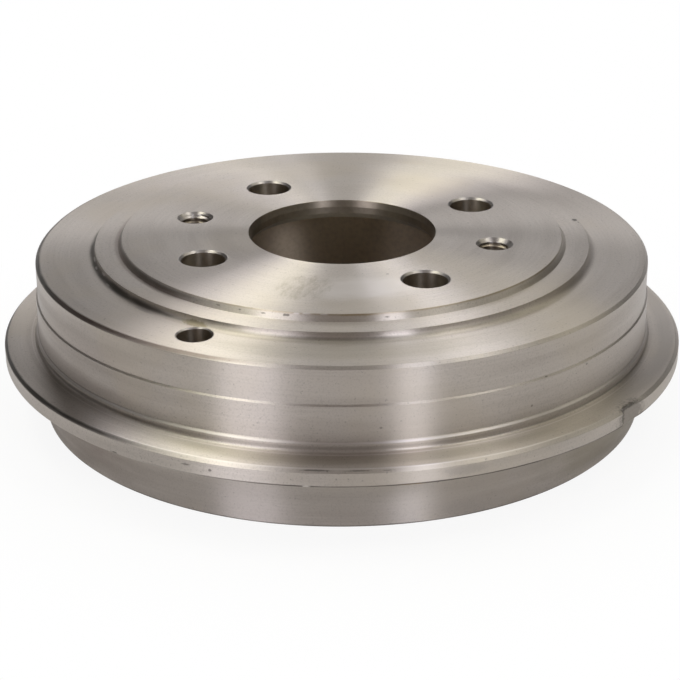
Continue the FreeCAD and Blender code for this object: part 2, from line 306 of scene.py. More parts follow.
def drum_section(outside, inside, holes):
    """The drum's closed section: across the hub face, down the outside and back up the inside."""
    top = outside.height
    foot = outside.flange_level + outside.flange_rise
    step = outside.lower_band - outside.upper_band
    edge = outside.broken_edge
    few, many = EDGE_STEPS, FILLET_STEPS
    corners = [
        (holes.ring_from, top, 0, 0),
        (holes.ring_to, top, 0, 0),
        (outside.hub_edge, top, edge, few),
        (outside.hub_edge + outside.hub_slope, outside.shoulder_level, edge, few),
        (outside.shoulder, outside.shoulder_level, edge / 2, few),
        (outside.shoulder, outside.web_level, outside.web_fillet, many),
        (holes.web_ring_to, outside.web_level, 0, 0),
        (outside.upper_band - outside.top_chamfer, outside.web_level, edge, few),
        (outside.upper_band, outside.web_level - outside.top_chamfer, edge, few),
        (outside.upper_band, outside.step_level, edge, few),
        (outside.lower_band, outside.step_level - step, edge, few),
        (outside.lower_band, outside.neck_level, edge, few),
        (outside.neck, outside.neck_level - (outside.neck - outside.lower_band), edge, few),
        (outside.neck, foot, outside.neck_fillet, many),
        (outside.rim - outside.rim_chamfer, outside.flange_level, edge, few),
        (outside.rim, outside.flange_level - outside.rim_chamfer, edge, few),
        (outside.rim, outside.flange_base + outside.rim_lower_chamfer, edge / 2, few),
        (outside.rim - outside.rim_lower_chamfer, outside.flange_base, edge / 2, few),
        (outside.skirt, outside.flange_base, outside.skirt_fillet, few),
        (outside.skirt, outside.skirt_chamfer, edge, few),
        (outside.skirt - outside.skirt_chamfer, 0.0, edge, few),
        (inside.mouth + inside.mouth_chamfer, 0.0, edge, few),
        (inside.mouth, inside.mouth_chamfer, edge, few),
        (inside.mouth, inside.mouth_depth, edge, few),
        (inside.brake, inside.brake_base, edge, few),
        (inside.brake, inside.brake_top, edge, few),
        (inside.relief, inside.brake_top + (inside.relief - inside.brake), edge, few),
        (inside.relief, inside.web_ceiling, inside.relief_fillet, many),
        (holes.web_ring_from, inside.web_ceiling, 0, 0),
        (inside.seat + inside.seat_slope, inside.web_ceiling, edge, few),
        (inside.seat, inside.seat_level, edge, few),
        (holes.ring_to, inside.seat_level, 0, 0),
        (holes.ring_from, inside.seat_level, 0, 0),
        (inside.bore + inside.bore_lead_in, inside.seat_level, edge, few),
        (inside.bore, inside.seat_level + inside.bore_lead_in, edge, few),
        (inside.bore, top - inside.bore_chamfer_depth, edge, few),
        (inside.bore + inside.bore_chamfer_width, top, edge, few),
    ]
    return outline_rows(corners, closed=True)


def nearest_row(rows, across, up):
    """Number of the row that lies nearest to a point of the section."""
    return int(np.argmin(np.hypot(rows[:, 0] - across, rows[:, 1] - up)))


def carried_round(rows, turns, centre=(0.0, 0.0), reach=None):
    """Carry rows round an upright axis: x and y are the radius times the turn's cosine and sine.

    turns holds one angle for each column, or one for each point. Where a reach is given for each
    column, no point lies further from the axis than that, and the points held back are marked.
    """
    turns = np.broadcast_to(turns, (len(rows), np.shape(turns)[-1]))
    cosine, sine = np.cos(turns), np.sin(turns)
    radius = np.repeat(rows[:, :1], turns.shape[1], axis=1)
    held = np.zeros(radius.shape, bool)
    if reach is not None:
        held = radius > reach
        radius = np.minimum(radius, reach)
    height = np.repeat(rows[:, 1:2], turns.shape[1], axis=1)
    points = np.stack((centre[0] + radius * cosine, centre[1] + radius * sine, height), axis=-1)
    rise = np.repeat(rows[:, 3:4], turns.shape[1], axis=1)
    normals = np.stack((rows[:, 2:3] * cosine, rows[:, 2:3] * sine, rise), axis=-1)
    return points, normals, held


def cell_corners(grid):
    """Corners of each cell of a grid, in the order that faces the cell outwards."""
    corners = np.stack((grid[:-1, :-1], grid[1:, :-1], grid[1:, 1:], grid[:-1, 1:]), axis=2)
    return corners.reshape(-1, 4, grid.shape[-1])


class Skin:
    """Patches of a closed surface, gathered one by one and then welded into one mesh."""

    def __init__(self):
        self.points = []
        self.normals = []
        self.finishes = []

    def add(self, points, normals, finish, held=None):
        """Add a grid of points. A cell with a held-back point is shaded flat, not by its normals."""
        corners = cell_corners(points)
        directions = cell_corners(normals)
        if held is not None:
            flat = cell_corners(held[..., None]).any(axis=(1, 2))
            facing = np.cross(corners[:, 2] - corners[:, 0], corners[:, 3] - corners[:, 1])
            directions[flat] = unit(facing[flat] + 1e-12)[:, None]
        self.points.append(corners)
        self.normals.append(directions)
        self.finishes.append(np.broadcast_to(finish, len(corners)))

    def mesh(self, name):
        """Weld the patches: corners that fall on one point share it, and empty cells are left out."""
        points = np.concatenate(self.points)
        normals = np.concatenate(self.normals)
        finishes = np.concatenate(self.finishes)
        keys = np.round(points.reshape(-1, 3) / WELD_STEP).astype(np.int64)
        _, first, index = np.unique(keys, axis=0, return_index=True, return_inverse=True)
        corners = index.reshape(-1, 4)
        before = np.roll(corners, 1, axis=1)
        kept = corners != before
        sound = (kept.sum(axis=1) >= 3) & (corners[:, 0] != corners[:, 2]) & (corners[:, 1] != corners[:, 3])
        faces = [face[keep].tolist() for face, keep in zip(corners[sound], kept[sound])]

        mesh = bpy.data.meshes.new(name)
        mesh.from_pydata(points.reshape(-1, 3)[first].tolist(), [], faces)
        mesh.polygons.foreach_set("material_index", finishes[sound])
        mesh.polygons.foreach_set("use_smooth", np.ones(len(faces), bool))
        mesh.normals_split_custom_set(normals[sound][kept[sound]].tolist())
        return mesh


class Hole:
    """A round hole with an upright axis. Its columns are those of the sector round it."""

    def __init__(self, kind, circle, turn):
        self.kind = kind
        self.turn = turn
        self.centre = (circle * math.cos(turn), circle * math.sin(turn))
        self.columns = None


def face_at(rows, radius):
    """Height and normal of a face at any radius, read off between its rows."""
    known = rows[np.argsort(rows[:, 0])]
    return [np.interp(radius, known[:, 0], known[:, part]) for part in (1, 2, 3)]


def pierced_sector(rows, radii, hole, mouth):
    """A sector of a face round a hole's mouth.

    The border is walked once round, counterclockwise from above: out along one side, round the
    outer arc, back in along the other side and round the inner arc. Each of its points is joined
    to the mouth's circle by a straight line towards the hole's axis, and the height is the
    face's own at that radius. Returns points, normals and each line's angle at the hole's axis.
    """
    start, *_, end = hole.columns
    sides = len(radii) - 1
    arcs = len(hole.columns) - 1
    radius = np.concatenate((radii[:-1], np.full(arcs, radii[-1]), radii[:0:-1], np.full(arcs + 1, radii[0])))
    turn = np.concatenate((np.full(sides, start), hole.columns[:-1], np.full(sides, end), hole.columns[::-1]))
    border = np.stack((radius * np.cos(turn), radius * np.sin(turn)), axis=1)
    spokes = border - hole.centre
    lines = np.unwrap(np.arctan2(spokes[:, 1], spokes[:, 0]))
    circle = hole.centre + mouth * unit(spokes)
    shares = np.linspace(0, 1, SPOKE_STEPS + 1)[:, None, None]
    plan = circle + shares * (border - circle)
    distance = np.hypot(plan[..., 0], plan[..., 1])
    height, lean, rise = face_at(rows, distance)
    points = np.concatenate((plan, height[..., None]), axis=-1)
    normals = np.stack((lean * plan[..., 0] / distance, lean * plan[..., 1] / distance, rise), axis=-1)
    return points, normals, lines


def through_hole(rows, hole, lower, upper):
    """Carry a hole's rows round its axis, from its lower mouth up to its upper one.

    The angles and heights change evenly from those of the lower mouth's ring to those of the
    upper mouth's, so that both ends lie on the faces, curved or flat.
    """
    lower_ring, lower_lines = lower
    upper_ring, upper_lines = upper
    part = ((rows[:, 1] - rows[0, 1]) / (rows[-1, 1] - rows[0, 1]))[:, None]
    points, normals, _ = carried_round(rows, lower_lines + part * (upper_lines - lower_lines), hole.centre)
    points[..., 2] += (1 - part) * (lower_ring[:, 2] - rows[0, 1]) + part * (upper_ring[:, 2] - rows[-1, 1])
    return points, normals


def threaded_hole(holes, hole, lines, low, high):
    """Sink a tapped hole with a countersink above and a chamfer below.

    The rows climb with the thread, by one pitch in a turn, so that its crest and its root each
    lie along a row. The thread's radius falls in a straight flank from root to crest, between
    flats of an eighth and a quarter of the pitch. Where the countersink or the chamfer lies
    further out than the thread, the radius is theirs.
    """
    pitch = holes.thread_pitch
    climb = (lines - lines[0]) / FULL_TURN
    turns = math.ceil((high - low) / pitch)
    start = np.arange(-1, turns + 1)[:, None] + np.array(THREAD_CORNERS)
    start = np.append(start.ravel(), turns + 1.0)
    height = np.clip(low + pitch * (start[:, None] + climb), low, high)
    phase = (height - low) / pitch - climb
    from_root = np.abs(phase - np.floor(phase) - 0.5) - 1 / 16
    thread = np.interp(from_root, (0, 5 / 16), (holes.thread_root, holes.thread_crest))
    countersink = holes.screw_edge - (high - height)
    chamfer = holes.thread_root - (height - low) + holes.screw_lead_out
    radius = np.maximum(np.maximum(thread, countersink), chamfer)
    points = np.stack((
        hole.centre[0] + radius * np.cos(lines),
        hole.centre[1] + radius * np.sin(lines),
        height,
    ), axis=-1)
    along = np.gradient(points, axis=1)
    along[:, 0] = along[:, -1] = points[:, 1] - points[:, -2]
    facing = np.cross(np.gradient(points, axis=0), along)
    size = np.linalg.norm(facing, axis=-1, keepdims=True)
    inward = np.stack((-np.cos(lines), -np.sin(lines), np.zeros(len(lines))), axis=-1)
    return points, np.where(size > 1e-12, facing / np.maximum(size, 1e-12), inward)


def hole_rows(mouth_below, radius, mouth_above, low, high, edge):
    """Rows of a plain hole, from its lower mouth up: each mouth is a cone with broken edges."""
    corners = [
        (mouth_below + edge, low, 0, 0),
        (mouth_below, low, edge / 2, EDGE_STEPS),
        (radius, low + mouth_below - radius, edge / 2, EDGE_STEPS),
        (radius, high - (mouth_above - radius), edge / 2, EDGE_STEPS),
        (mouth_above, high, edge / 2, EDGE_STEPS),
        (mouth_above + edge, high, 0, 0),
    ]
    return outline_rows(corners, closed=False)


def rim_reach(outside, columns):
    """How far the rim reaches at each angle: without limit, but up to the balance cut's chord.

    The chord runs from the deep end, at rim radius less the depth, to the rim itself, a width
    away. With x along the deep end's radius, it is x = start + slope * y, so that its distance
    from the axis at an angle a is start / (cos a - slope * sin a).
    """
    turn = (columns - outside.flat_angle + math.pi) % FULL_TURN - math.pi
    start = outside.rim - outside.flat_depth
    run_out = math.sqrt(outside.rim ** 2 - outside.flat_width ** 2)
    slope = (run_out - start) / outside.flat_width
    chord = start / (np.cos(turn) - slope * np.sin(turn))
    inside_cut = (turn > 0) & (turn < math.asin(outside.flat_width / outside.rim))
    return np.where(inside_cut, chord, np.inf)


TURNED, BORED, DRILLED_SHADE, CUT_HIGHLIGHT = range(4)


def hole_finish(points, level):
    """Finish of each cell of a hole: a cut edge above a level, a drilled wall below it.

    The edge is paler as a painted highlight, and the wall darker as painted shade.
    """
    middle = cell_corners(points)[..., 2].mean(axis=1)
    return np.where(middle > level, CUT_HIGHLIGHT, DRILLED_SHADE)


def lay_out_holes(holes):
    """Place the bolt and screw holes, and share the ring that they lie in between them."""
    ring = [
        Hole(kind, circle, first + index * FULL_TURN / count)
        for kind, circle, first, count in (
            ("bolt", holes.bolt_circle, holes.bolt_angle, 4),
            ("screw", holes.screw_circle, holes.screw_angle, 2),
        )
        for index in range(count)
    ]
    ring.sort(key=lambda hole: hole.turn)
    ends = [hole.turn for hole in ring] + [ring[0].turn + FULL_TURN]
    borders = [(here + there) / 2 for here, there in zip(ends, ends[1:])]
    return ring, [borders[-1] - FULL_TURN] + borders


def add_ring_hole(skin, hole, holes, hub_face, seat_face, edge):
    """Add a bolt's or a screw's hole, and the sectors of the hub face and the seat round it."""
    if hole.kind == "bolt":
        narrow, above, spare = holes.bolt_hole, holes.bolt_edge, edge
        below = holes.bolt_hole + holes.hole_chamfer
    else:
        narrow, above, spare = holes.thread_crest, holes.screw_edge, 0.0
        below = holes.thread_root + holes.screw_lead_out
    seat, top = seat_face[0, 1], hub_face[0, 1]
    radii = np.linspace(holes.ring_from, holes.ring_to, SIDE_STEPS + 1)
    over, over_normals, lines = pierced_sector(hub_face, radii, hole, above + spare)
    under, under_normals, _ = pierced_sector(seat_face, radii, hole, below + spare)
    skin.add(over, over_normals, TURNED)
    skin.add(under[::-1], under_normals[::-1], BORED)
    if hole.kind == "bolt":
        rows = hole_rows(below, narrow, above, seat, top, edge)
        wall = through_hole(rows, hole, (under[0], lines), (over[0], lines))
    else:
        wall = threaded_hole(holes, hole, lines, seat, top)
    skin.add(*wall, hole_finish(wall[0], top - (above - narrow)))


def add_adjuster_hole(skin, hole, rows, faces, columns, level):
    """Add the adjuster's hole, and the rings of the web's inner and outer face that it pierces.

    Above the level the hole is a cut edge, paler as a painted highlight.
    """
    first, last = np.searchsorted(columns, hole.columns[[0, -1]])
    rings = []
    for face, mouth, finish, order in zip(faces, rows[[0, -1], 0], (BORED, TURNED), (-1, 1)):
        radii = np.linspace(*np.sort(face[[0, -1], 0]), WEB_RING_STEPS + 1)
        points, normals, lines = pierced_sector(face, radii, hole, mouth)
        rings.append((points[0], lines))
        skin.add(points[::order], normals[::order], finish)
        band = np.stack((radii, *face_at(face, radii)), axis=1)[::order]
        for part in (columns[:first + 1], columns[last:]):
            points, normals, _ = carried_round(band, part)
            skin.add(points, normals, finish)
    wall = through_hole(rows, hole, *rings)
    skin.add(*wall, hole_finish(wall[0], level))


def build_drum_skin(outside, inside, holes):
    """Build the drum's whole skin as one closed mesh: turned faces, pierced rings and holes."""
    ring, borders = lay_out_holes(holes)
    step = FULL_TURN / COLUMNS
    deep_end = borders[0] + (outside.flat_angle - borders[0]) % FULL_TURN
    columns = borders[0] + step * np.arange(COLUMNS + 1)
    columns = np.sort(np.append(columns, (deep_end - FLAT_WALL / 2, deep_end + FLAT_WALL / 2)))
    for hole, low, high in zip(ring, borders, borders[1:]):
        hole.columns = columns[(columns > low - step / 2) & (columns < high + step / 2)]

    section = drum_section(outside, inside, holes)
    top, seat = outside.height, inside.seat_level
    web_start = nearest_row(section, holes.web_ring_from, outside.web_level)
    web_end = nearest_row(section, holes.web_ring_to, outside.web_level)
    mouth_start = nearest_row(section, outside.skirt - outside.skirt_chamfer, 0.0)
    ceiling_start = nearest_row(section, holes.web_ring_to, inside.web_ceiling)
    ceiling_end = nearest_row(section, holes.web_ring_from, inside.web_ceiling)
    seat_start = nearest_row(section, holes.ring_to, seat)
    seat_end = nearest_row(section, holes.ring_from, seat)
    bore_end = nearest_row(section, inside.bore + inside.bore_chamfer_width, top)

    skin = Skin()
    closed = np.vstack((section, section[:1]))
    reach = rim_reach(outside, columns)
    # The bore takes the darker drilled iron, which is painted shade.
    for low, high, finish in (
        (1, web_start, TURNED),
        (web_end, mouth_start, TURNED),
        (mouth_start, ceiling_start, BORED),
        (ceiling_end, seat_start, BORED),
        (seat_end, bore_end, DRILLED_SHADE),
        (bore_end, len(section), TURNED),
    ):
        points, normals, held = carried_round(closed[low:high + 1], columns, reach=reach)
        skin.add(points, normals, finish, held)

    edge = outside.broken_edge
    for hole in ring:
        add_ring_hole(skin, hole, holes, section[:2], section[seat_start:seat_end + 1], edge)

    x, y, _ = MOUNTS["adjuster_hole"]["pos_m"]
    turn = borders[0] + (math.atan2(y, x) - borders[0]) % FULL_TURN
    adjuster = Hole("adjuster", math.hypot(x, y), turn)
    first, last = np.searchsorted(columns, (turn - ADJUSTER_MARGIN, turn + ADJUSTER_MARGIN))
    adjuster.columns = columns[first - 1:last + 1]
    bore, low, high = holes.adjuster_hole, inside.web_ceiling, outside.web_level
    rows = hole_rows(bore + holes.hole_chamfer, bore, bore + holes.adjuster_edge, low, high, edge)
    faces = (section[ceiling_start:ceiling_end + 1], section[web_start:web_end + 1])
    add_adjuster_hole(skin, adjuster, rows, faces, columns, high - holes.adjuster_edge)
    return skin.mesh("drum_casting")


def cleared_tree(block):
    """Give a material or a world an empty node tree."""
    block.use_nodes = True
    block.node_tree.nodes.clear()
    return block.node_tree


def add_node(tree, kind, settings=None, links=None, output=0):
    """Add a node, set its options and inputs, link its inputs and return one of its outputs.

    settings maps an option or an input socket to a value, links an input to another's output.
    """
    node = tree.nodes.new("ShaderNode" + kind)
    for key, value in (settings or {}).items():
        if isinstance(key, int) or key in node.inputs:
            node.inputs[key].default_value = value
        else:
            setattr(node, key, value)
    for key, source in (links or {}).items():
        tree.links.new(source, node.inputs[key])
    return node.outputs[output] if len(node.outputs) else None


def colour(value):
    """A colour with full opacity, as a socket wants it."""
    return (*value, 1.0)


class TurnedPlace:
    """Where a point lies on the turned part, as sockets.

    section is its place in the turned section, with its distance from the axis as X and its
    height as Y, and direction is the way from the axis. run is the distance less the height: it
    grows outwards on a face and downwards on a wall, so it counts the tool's marks on both.
    """

    def __init__(self, tree):
        self.place = add_node(tree, "TexCoord", output="Object")
        flat = add_node(tree, "VectorMath", {"operation": "MULTIPLY", 1: (1, 1, 0)}, {0: self.place})
        across = add_node(tree, "VectorMath", {"operation": "LENGTH"}, {0: flat}, "Value")
        up = add_node(tree, "SeparateXYZ", None, {0: self.place}, "Z")
        self.direction = add_node(tree, "VectorMath", {"operation": "NORMALIZE"}, {0: flat})
        self.section = add_node(tree, "CombineXYZ", None, {"X": across, "Y": up})
        self.run = add_node(tree, "Math", {"operation": "SUBTRACT"}, {0: across, 1: up})


def ring_marks(tree, turned, spacing, patches):
    """Noise in rings: it changes once in a spacing across the marks, and slowly along them.

    patches is how often it changes along the marks while the angle grows by a radian.
    """
    around = add_node(tree, "VectorMath", {"operation": "SCALE", "Scale": patches}, {0: turned.direction})
    over = add_node(tree, "Math", {"operation": "DIVIDE", 1: spacing}, {0: turned.run})
    lift = add_node(tree, "CombineXYZ", None, {"Z": over})
    where = add_node(tree, "VectorMath", {"operation": "ADD"}, {0: around, 1: lift})
    return add_node(tree, "TexNoise", {"Scale": 1.0, "Detail": 2.0}, {"Vector": where})


def stained(tree, under, coat, amount, start, full, depth):
    """Lay a coat over a colour: none where the amount is at start, and depth where it is full."""
    cover = add_node(
        tree,
        "MapRange",
        {"interpolation_type": "SMOOTHSTEP", "From Min": start, "From Max": full, "To Max": depth},
        {"Value": amount},
    )
    return add_node(tree, "Mix", {"data_type": "RGBA", 7: colour(coat)}, {0: cover, 6: under}, output=2)


def marked_iron(tree, turned, finish):
    """Colour, roughness and fine relief of turned iron.

    The tool leaves marks in rings, which come and go round the part. It opens the graphite in
    the iron as dark pores, and a thin film of oil and rust tints the iron in places.
    """
    fine = ring_marks(tree, turned, finish.mark_spacing, 3.0)
    wide = ring_marks(tree, turned, finish.band_spacing, 1.5)
    grit, pores, film = (
        add_node(tree, "TexNoise", {"Scale": 1 / size, "Detail": detail}, {"Vector": turned.place})
        for size, detail in ((finish.grit_size, 1.0), (finish.pore_size, 1.0), (finish.film_size, 3.0))
    )
    shade = add_node(tree, "RGB")
    shade.default_value = colour(finish.iron)
    for coat, amount, start, full, depth in (
        (finish.bright_iron_and_painted_highlight, fine, 0.5, 0.75, 0.3),
        (finish.dull_iron_and_painted_shade, fine, 0.5, 0.25, 0.18),
        (finish.dull_iron_and_painted_shade, wide, 0.5, 0.25, 0.15),
        (finish.dull_iron_and_painted_shade, grit, 0.45, 0.8, 0.5),
        (finish.iron_warm, film, 0.48, 0.66, 0.5),
        (finish.graphite_and_painted_shade, pores, 0.68, 0.8, 0.3),
    ):
        shade = stained(tree, shade, coat, amount, start, full, depth)
    low, high = finish.roughness - finish.roughness_swing, finish.roughness + finish.roughness_swing
    gloss = add_node(
        tree, "MapRange", {"From Min": 0.3, "From Max": 0.7, "To Min": low, "To Max": high}, {"Value": wide}
    )
    relief = add_node(tree, "Math", {"operation": "SUBTRACT"}, {0: fine, 1: pores})
    bump = add_node(tree, "Bump", {"Strength": 0.12, "Distance": finish.mark_depth}, {"Height": relief})
    return shade, gloss, bump


def cut_by_tool(tree, shade, away, roughness, anisotropy, links=None):
    """Finish bare metal with the marks of a tool that went round an axis.

    A surface like this mirrors a lamp as a streak that lies across its marks. So the shader's
    tangent follows the marks, level and square to the way from the axis, and its highlight is
    turned a quarter.
    """
    along = add_node(tree, "VectorMath", {"operation": "CROSS_PRODUCT", 0: (0, 0, 1)}, {1: away})
    along = add_node(tree, "VectorMath", {"operation": "NORMALIZE"}, {0: along})
    shader = add_node(
        tree,
        "BsdfPrincipled",
        {"Metallic": 1.0, "Roughness": roughness, "Anisotropic": anisotropy, "Anisotropic Rotation": 0.25},
        {"Base Color": shade, "Tangent": along, **(links or {})},
    )
    add_node(tree, "OutputMaterial", None, {"Surface": shader})


def turned_iron(finish):
    """Turned grey iron: fine rings that catch the light, painted shade and highlights, oil and rust."""
    material = bpy.data.materials.new("turned_grey_iron")
    tree = cleared_tree(material)
    turned = TurnedPlace(tree)
    shade, gloss, relief = marked_iron(tree, turned, finish)
    shade = weathering_and_painted_light(tree, turned, finish, shade)
    fine_look = {"Roughness": gloss, "Normal": relief}
    cut_by_tool(tree, shade, turned.place, finish.roughness, finish.anisotropy, fine_look)
    return material


def bored_iron(name, finish, base, roughness, anisotropy, from_drum_axis):
    """Iron cut so finely that no single mark shows, with a little oil and graphite on it.

    The marks run round the drum's axis, or round the hole's own, square to its wall. The base
    colour is given: in the holes and the bore it is darker, as painted shade, and on their cut edges
    paler, as painted highlight.
    """
    material = bpy.data.materials.new(name)
    tree = cleared_tree(material)
    place = add_node(tree, "TexCoord", output="Object")
    patches = add_node(tree, "TexNoise", {"Scale": 1 / finish.stain_size}, {"Vector": place})
    shade = add_node(tree, "RGB")
    shade.default_value = colour(base)
    shade = stained(tree, shade, finish.graphite_and_painted_shade, patches, 0.35, 0.75, 0.15)
    away = place if from_drum_axis else add_node(tree, "NewGeometry", output="Normal")
    cut_by_tool(tree, shade, away, roughness, anisotropy)
    return material


# Rings of colour round the axis. The graphite, dull iron and red-brown rows are painted shade in
# corners, along edges, down the walls and over the flange and the skirt, and the bright iron rows are
# painted highlights. The film rows tint and darken the web, the hub slope and the flange, and over
# the skirt they are painted shade too; the rust rows are rust. Columns: radius, height and reach in
# millimetres, the angle of the middle and the spread to each side in degrees, the coat and its depth.
DEPOSITS_AND_PAINTED_LIGHT = (
    (78.3, 49.9, 1.3, -100, 75, "graphite_and_painted_shade", 0.35),
    (79.5, 49.6, 2.6, -80, 75, "film", 0.3),
    (78.2, 50.1, 2.4, -165, 55, "graphite_and_painted_shade", 0.8),
    (69.9, 53.1, 1.5, -170, 65, "graphite_and_painted_shade", 0.55),
    (70.6, 52.6, 2.4, -170, 65, "red_brown_painted_shade", 0.5),
    (70.2, 52.8, 1.6, -12, 50, "film", 0.25),
    (95.7, 49.3, 1.7, -170, 60, "graphite_and_painted_shade", 0.9),
    (95.7, 49.3, 1.6, -130, 35, "red_brown_painted_shade", 0.6),
    (86.0, 49.6, 10.0, -88, 40, "film", 0.25),
    (50.0, 54.0, 17.0, -83, 22, "bright_iron_and_painted_highlight", 0.9),
    (96.9, 29.5, 6.0, -155, 35, "red_brown_painted_shade", 0.3),
    (96.6, 40.0, 12.0, -155, 35, "red_brown_painted_shade", 0.2),
    (99.3, 24.5, 3.0, -155, 42, "red_brown_painted_shade", 0.15),
    (97.5, 25.7, 1.0, -110, 70, "graphite_and_painted_shade", 0.2),
    (97.5, 25.5, 1.1, -155, 50, "graphite_and_painted_shade", 0.45),
    (97.8, 24.9, 0.6, -45, 50, "graphite_and_painted_shade", 0.35),
    (97.2, 27.0, 0.6, 0, 180, "bright_iron_and_painted_highlight", 1.0),
    (99.2, 24.5, 0.6, -70, 80, "bright_iron_and_painted_highlight", 1.0),
    (99.0, 24.5, 0.5, -155, 50, "bright_iron_and_painted_highlight", 0.45),
    (102.0, 24.3, 5.0, -88, 45, "film", 0.3),
    (103.5, 24.2, 5.5, -5, 50, "dull_iron_and_painted_shade", 0.6),
    (69.6, 54.0, 0.9, -70, 110, "rust", 0.35),
    (69.6, 54.0, 0.9, -30, 60, "film", 0.35),
    (107.0, 23.5, 1.3, -165, 60, "graphite_and_painted_shade", 0.9),
    (106.4, 24.0, 0.6, -88, 60, "bright_iron_and_painted_highlight", 1.0),
    (107.5, 18.8, 0.9, -70, 75, "graphite_and_painted_shade", 0.9),
    (95.8, 8.0, 14.0, 0, 180, "dull_iron_and_painted_shade", 0.35),
    (95.8, 8.0, 14.0, 180, 75, "red_brown_painted_shade", 0.4),
    (95.8, 8.0, 14.0, -12, 60, "film", 0.45),
    (95.7, 0.2, 0.9, 0, 180, "graphite_and_painted_shade", 0.7),
)

# Small marks. The bright iron marks are painted glints on edges and fillets, and the graphite marks
# at the balance cut are painted shade on its face, in its step and along its top edge; the other
# marks darken, stain or rust small spots on the hub edge, the fillets, the wall and the rim. Columns:
# radius and height in millimetres and turn in degrees, length along the tool's marks and width
# across them, the coat and its depth.
MARKS_AND_PAINTED_LIGHT = (
    (77.0, 51.7, 10.9, 2.6, 2.0, "graphite_and_painted_shade", 0.8),
    (77.6, 51.6, 9.2, 2.0, 1.2, "graphite_and_painted_shade", 0.5),
    (69.9, 53.3, -103.4, 2.2, 0.8, "graphite_and_painted_shade", 0.7),
    (70.2, 53.0, -79.8, 1.8, 0.8, "graphite_and_painted_shade", 0.7),
    (70.0, 53.2, -121.0, 1.6, 0.6, "graphite_and_painted_shade", 0.6),
    (70.0, 53.2, -115.0, 1.2, 0.6, "graphite_and_painted_shade", 0.6),
    (70.0, 53.2, -109.0, 1.6, 0.7, "graphite_and_painted_shade", 0.6),
    (69.6, 53.8, -86.6, 14.0, 0.9, "rust", 0.35),
    (69.4, 54.0, -98.5, 3.0, 0.7, "bright_iron_and_painted_highlight", 1.0),
    (69.6, 53.9, -101.0, 2.0, 0.8, "bright_iron_and_painted_highlight", 1.0),
    (69.5, 53.9, -94.5, 2.5, 0.6, "bright_iron_and_painted_highlight", 1.0),
    (40.5, 54.0, -70.8, 1.1, 0.8, "graphite_and_painted_shade", 0.6),
    (78.2, 50.6, -168.0, 5.0, 0.8, "bright_iron_and_painted_highlight", 0.7),
    (78.6, 50.2, -163.5, 3.0, 0.7, "bright_iron_and_painted_highlight", 0.6),
    (78.0, 50.9, -158.0, 4.0, 0.8, "bright_iron_and_painted_highlight", 0.7),
    (79.0, 49.9, -153.0, 3.0, 0.7, "bright_iron_and_painted_highlight", 0.5),
    (80.0, 49.7, -136.5, 9.0, 1.4, "dull_iron_and_painted_shade", 0.7),
    (78.8, 50.2, -122.4, 9.0, 2.4, "film", 0.8),
    (96.8, 31.3, -84.0, 0.9, 0.8, "graphite_and_painted_shade", 0.45),
    (96.8, 37.1, -43.6, 1.0, 0.8, "graphite_and_painted_shade", 0.5),
    (96.6, 38.6, -44.5, 1.2, 0.6, "graphite_and_painted_shade", 0.5),
    (96.6, 38.2, -53.7, 1.2, 0.6, "graphite_and_painted_shade", 0.5),
    (96.8, 30.5, -56.7, 0.9, 0.8, "graphite_and_painted_shade", 0.5),
    (107.4, 18.8, -80.0, 10.0, 0.6, "rust", 0.5),
    (106.8, 23.6, -94.2, 9.0, 0.5, "graphite_and_painted_shade", 0.6),
    (106.8, 23.5, -88.0, 7.0, 0.5, "graphite_and_painted_shade", 0.5),
    (106.9, 23.4, -83.5, 4.0, 0.4, "graphite_and_painted_shade", 0.4),
    (107.5, 21.5, -114.0, 2.6, 0.6, "graphite_and_painted_shade", 0.5),
    (107.5, 21.0, -110.0, 1.1, 0.9, "graphite_and_painted_shade", 0.6),
    (107.4, 18.9, -127.0, 2.6, 1.0, "graphite_and_painted_shade", 0.6),
    (107.3, 19.0, -95.6, 2.6, 1.0, "bright_iron_and_painted_highlight", 0.9),
    (107.5, 21.3, -72.0, 13.0, 3.0, "dull_iron_and_painted_shade", 0.4),
    (107.0, 21.0, -40.7, 2.8, 6.4, "graphite_and_painted_shade", 0.6),
    (106.3, 23.6, -38.8, 11.0, 1.4, "graphite_and_painted_shade", 0.65),
    (106.8, 21.0, -38.6, 15.0, 8.0, "graphite_and_painted_shade", 0.45),
)

# A patch of wiped oil on the hub face, written as a small mark is, and the length and width of
# one stroke of the cloth.
SMEAR = (50.0, 54.0, -103.0, 28.0, 34.0)
STROKE = (4.0, 12.0)


def spot_frame(across, up, degrees, along, width):
    """Settings that show a place as it is seen from a spot: X points outwards, half a size is one."""
    turn = math.radians(degrees)
    return {
        "vector_type": "TEXTURE",
        "Location": (across * MM * math.cos(turn), across * MM * math.sin(turn), up * MM),
        "Rotation": (0, 0, turn),
        "Scale": (width / 2 * MM, along / 2 * MM, width / 2 * MM),
    }


